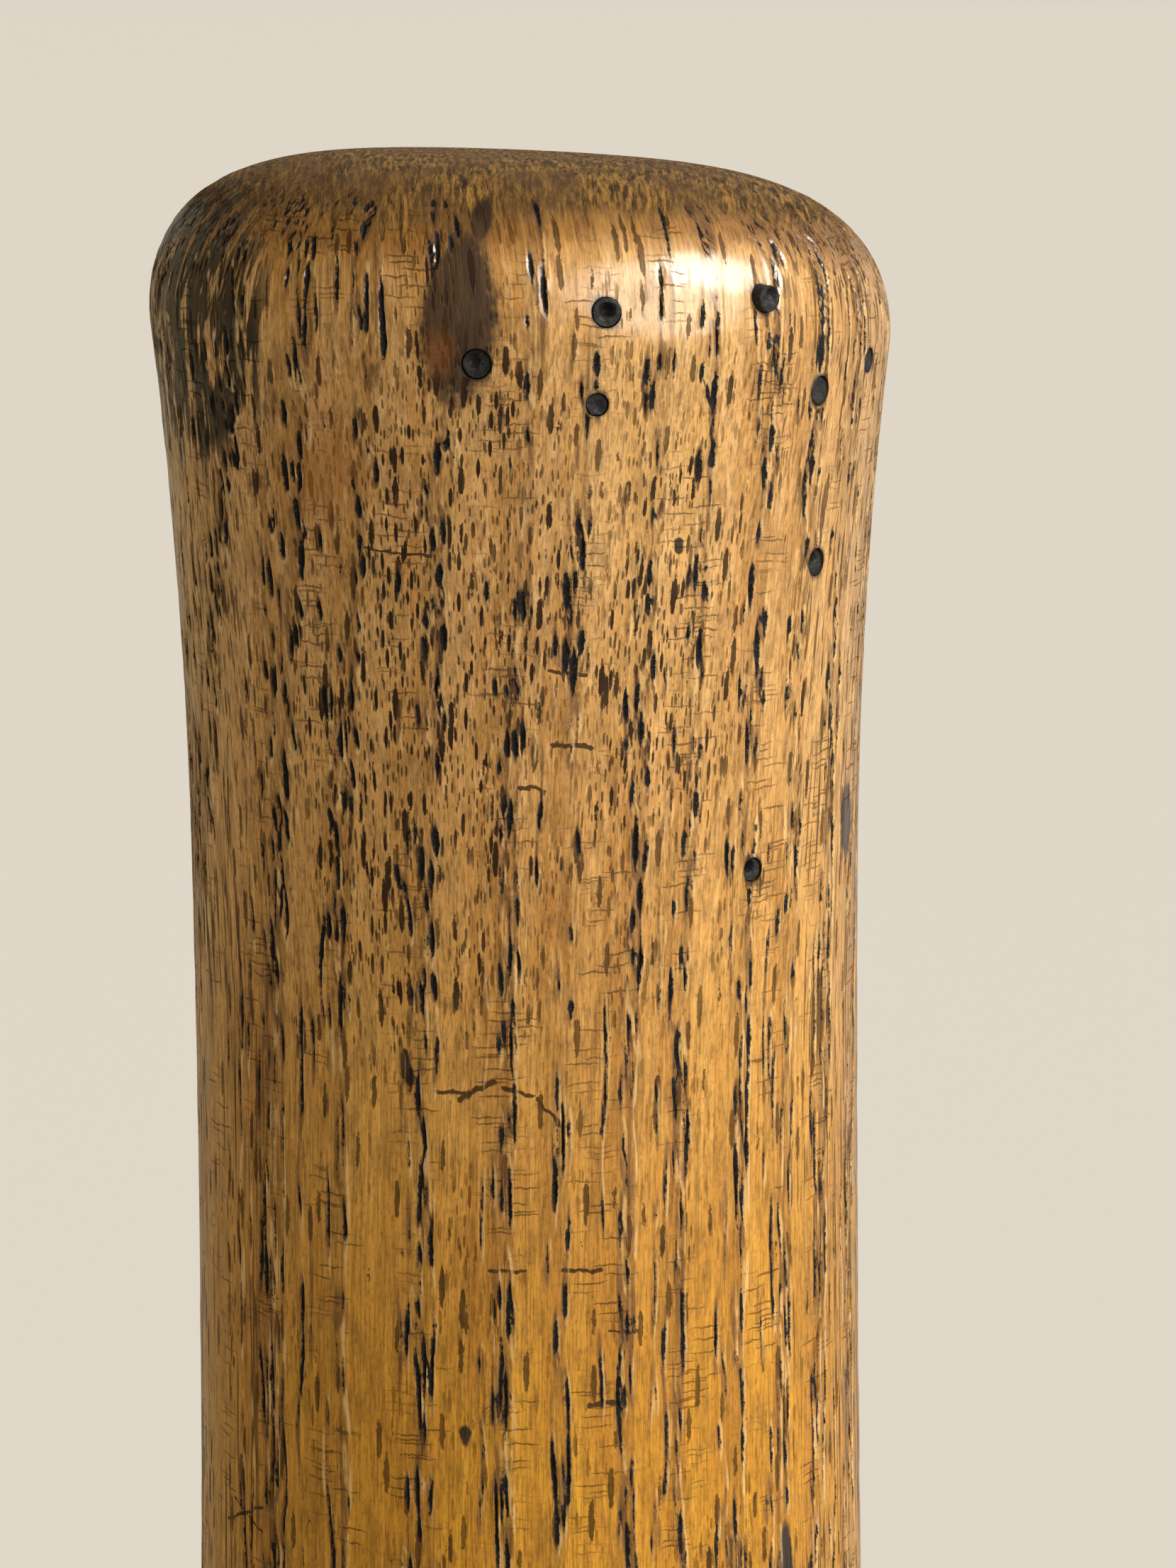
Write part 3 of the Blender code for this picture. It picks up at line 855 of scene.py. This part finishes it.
PLUG_SIDES = 32
PLUG_GAP = 0.03  # between the wax and the wood
PLUG_FOOT = BORE_DEPTH - 0.4  # how far down the hole the wax reaches
ROW_SHARES = (0.12, 0.24, 0.36, 0.48, 0.60, 0.72, 0.84, 0.94)
HOLLOW_REACH, LUMP_HEIGHT = 0.62, 0.045
plug_wax = bpy.data.materials.new("dark_wax")
plug_wax.use_nodes = True
plug_tree = plug_wax.node_tree
plug_shader = plug_tree.nodes["Principled BSDF"]
plug_look = plug_tree.nodes.new("ShaderNodeGroup")
plug_look.node_tree = wax_look
plug_place = add(plug_tree, "TexCoord").outputs["Object"]
plug_tree.links.new(stretched(plug_tree, plug_place, (1000, 1000, 1000)), plug_look.inputs[0])
plug_shader.inputs["Specular IOR Level"].default_value = 0.3
plug_tree.links.new(plug_look.outputs["Colour"], plug_shader.inputs["Base Color"])
plug_tree.links.new(plug_look.outputs["Roughness"], plug_shader.inputs["Roughness"])
plug_bump = add(plug_tree, "Bump", Strength=1.0, Distance=0.06 * MM, Height=plug_look.outputs["Height"])
plug_tree.links.new(plug_bump.outputs[0], plug_shader.inputs["Normal"])

# how deep each plug's hollow is, and the way it leans from the middle, as sideways and upward shares
HOLLOWS = (
    (0.20, 0.2, 0.3),
    (0.45, 0.0, 0.1),
    (0.22, -0.3, 0.2),
    (0.06, 0.1, 0.1),
    (0.03, 0.0, 0.0),
    (0.15, 0.2, -0.2),
    (0.60, -0.35, 0.35),
    (0.60, -0.30, 0.30),
)
for number, (hole, dented) in enumerate(zip(HOLES, HOLLOWS), start=1):
    degrees, below, bore, sunk = hole
    hollow, lean_out, lean_up = dented
    place, out = hole_axis(degrees, below)
    radius = bore / 2 - PLUG_GAP
    bm = bmesh.new()
    outline = [(0.0, -sunk)]
    outline += [(radius * share, -sunk) for share in ROW_SHARES]
    outline += [(radius, -sunk - 0.05), (radius, -PLUG_FOOT), (0.0, -PLUG_FOOT)]
    row = [bm.verts.new((along, 0.0, up)) for along, up in outline]
    edges = [bm.edges.new(pair) for pair in zip(row, row[1:])]
    bmesh.ops.spin(
        bm,
        geom=row + edges,
        cent=(0, 0, 0),
        axis=(0, 0, 1),
        dvec=(0, 0, 0),
        angle=math.tau,
        steps=PLUG_SIDES,
        use_merge=True,
    )
    bmesh.ops.remove_doubles(bm, verts=bm.verts, dist=0.0005)
    bmesh.ops.recalc_face_normals(bm, faces=bm.faces)
    for vertex in bm.verts:
        if vertex.co.z < -sunk - 0.01:
            continue
        across = vertex.co.x / radius
        upward = vertex.co.y / radius
        from_hollow = math.hypot(across - lean_out, upward - lean_up)
        dent = max(0.0, 1 - (from_hollow / HOLLOW_REACH) ** 2) ** 1.2
        lump = noise.noise((across * 2.2 + number * 7.3, upward * 2.2, 0.5))
        edge = min(1.0, (1 - math.hypot(across, upward)) * 6)
        vertex.co.z += -hollow * dent * edge + LUMP_HEIGHT * lump * edge
    bmesh.ops.transform(
        bm,
        verts=bm.verts,
        matrix=Matrix.Scale(MM, 4)
        @ Matrix.Translation(place)
        @ Matrix.Rotation(math.radians(degrees), 4, "Z")
        @ Matrix.Rotation(math.pi / 2, 4, "X"),
    )
    mesh = bpy.data.meshes.new(f"stopping_{number}")
    bm.to_mesh(mesh)
    bm.free()
    mesh.shade_smooth()
    mesh.set_sharp_from_angle(angle=math.radians(50))
    mesh.materials.append(plug_wax)
    stopping = bpy.data.objects.new(f"stopping_{number}", mesh)
    bpy.context.scene.collection.objects.link(stopping)
    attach(stopping, "root")
    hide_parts(f"wax_plug_{number}")


# ---------------------------------------------------------------------------------------------
# The studio: a very large pale matt floor under the standing bat, a broad soft lamp and a smaller
# one high on the right, and a dim warm fill all round. The lamps light the bat alone, and a soft
# sun overhead lights the floor alone.

FLOOR_RADIUS = 300.0
FLOOR_TONE = (0.705, 0.676, 0.620)
LAMP_WHITE = (1.0, 0.95, 0.87)
SUN_WHITE = (1.0, 0.97, 0.93)
FILL_LEFT = (0.19, 0.150, 0.080)
FILL_RIGHT = (0.42, 0.41, 0.39)
HORIZON = (0.723, 0.663, 0.568)  # what shows past the floor's edge, as pale as the floor
bm = bmesh.new()
bmesh.ops.create_circle(bm, cap_ends=True, segments=96, radius=FLOOR_RADIUS)
floor_mesh = bpy.data.meshes.new("floor")
bm.to_mesh(floor_mesh)
bm.free()
floor = bpy.data.objects.new("floor", floor_mesh)
bpy.context.scene.collection.objects.link(floor)
floor_paint = bpy.data.materials.new("floor_paint")
floor_paint.use_nodes = True
floor_shader = floor_paint.node_tree.nodes["Principled BSDF"]
floor_shader.inputs["Base Color"].default_value = (*FLOOR_TONE, 1)
floor_shader.inputs["Roughness"].default_value = 0.9
floor_shader.inputs["Specular IOR Level"].default_value = 0.1
floor_mesh.materials.append(floor_paint)
floor.visible_glossy = False

all_but_floor = bpy.data.collections.new("all_but_floor")
all_but_floor.objects.link(floor)
all_but_floor.collection_objects[0].light_linking.link_state = "EXCLUDE"

# name, degrees round from the front, degrees up, distance, size, watts, whether the gloss shows it
LAMPS = (
    ("soft_key", 48, 28, 1.1, 1.1, 14.6, True),
    ("window", 78, 41, 1.0, 0.50, 8.0, True),
    ("bounce", -118, 0, 1.0, 0.70, 2.2, False),
    ("back_fill", 180, -4, 1.7, 1.40, 15.0, False),
)
for name, degrees, up, away, size, watts, in_gloss in LAMPS:
    lamp = bpy.data.lights.new(name, "AREA")
    lamp.shape = "DISK"
    lamp.size = size
    lamp.energy = watts
    lamp.color = LAMP_WHITE
    lamp_object = bpy.data.objects.new(name, lamp)
    bpy.context.scene.collection.objects.link(lamp_object)
    lamp_object.matrix_world = (
        Matrix.Translation((0, 0, cad_high.z))
        @ Matrix.Rotation(math.radians(degrees), 4, "Z")
        @ Matrix.Rotation(math.radians(90 - up), 4, "X")
        @ Matrix.Translation((0, 0, away))
    )
    lamp_object.visible_camera = False
    lamp_object.visible_glossy = in_gloss
    lamp_object.light_linking.receiver_collection = all_but_floor

overhead = bpy.data.lights.new("overhead", "SUN")
overhead.energy = 2.36
overhead.angle = math.radians(60)
overhead.color = SUN_WHITE
overhead_lamp = bpy.data.objects.new("overhead", overhead)
bpy.context.scene.collection.objects.link(overhead_lamp)
floor_only = bpy.data.collections.new("floor_only")
floor_only.objects.link(floor)
overhead_lamp.light_linking.receiver_collection = floor_only

world = bpy.data.worlds.new("studio")
world.use_nodes = True
bpy.context.scene.world = world
sky = world.node_tree
direction = add(sky, "TexCoord").outputs["Generated"]
sideways = add(sky, "SeparateXYZ")
sky.links.new(direction, sideways.inputs[0])
fill = blend_colours(sky, remap(sky, sideways.outputs["X"], -1.0, 1.0), FILL_LEFT, FILL_RIGHT)
seen = add(sky, "LightPath").outputs["Is Camera Ray"]
air = blend_colours(sky, seen, fill, HORIZON)
sky.links.new(air, sky.nodes["Background"].inputs["Color"])
